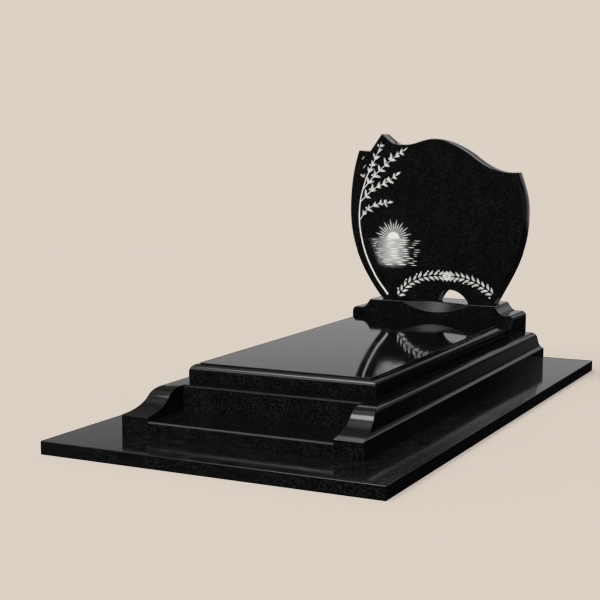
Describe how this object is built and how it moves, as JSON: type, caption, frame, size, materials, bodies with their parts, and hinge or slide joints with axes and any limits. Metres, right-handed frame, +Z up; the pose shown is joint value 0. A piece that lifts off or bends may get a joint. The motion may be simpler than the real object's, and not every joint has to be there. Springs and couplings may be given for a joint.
{
  "type": "headstone with ledger and kerb",
  "caption": "Polished granite grave monument: shield-shaped headstone on a plinth, ledger slab, moulded kerb with a flower recess, and a thin base slab.",
  "frame": {"origin": "centre of the base slab's underside", "axes": "+Z up, +Y from the foot end with the flower recess toward the headstone, +X to the right seen from the foot end"},
  "size_m": [1.1, 2.2, 0.9596],
  "materials": {
    "base_granite": "polished",
    "kerb_granite": "polished",
    "ledger_granite": "polished",
    "headstone_granite": "polished"
  },
  "bodies": {
    "root": {"base_slab": "base_granite", "kerb_foot_block": "kerb_granite", "kerb_left_rail": "kerb_granite", "kerb_right_rail": "kerb_granite", "kerb_head_block": "kerb_granite", "ledger": "ledger_granite", "plinth": "headstone_granite", "headstone": "headstone_granite"}
  },
  "joints": []
}
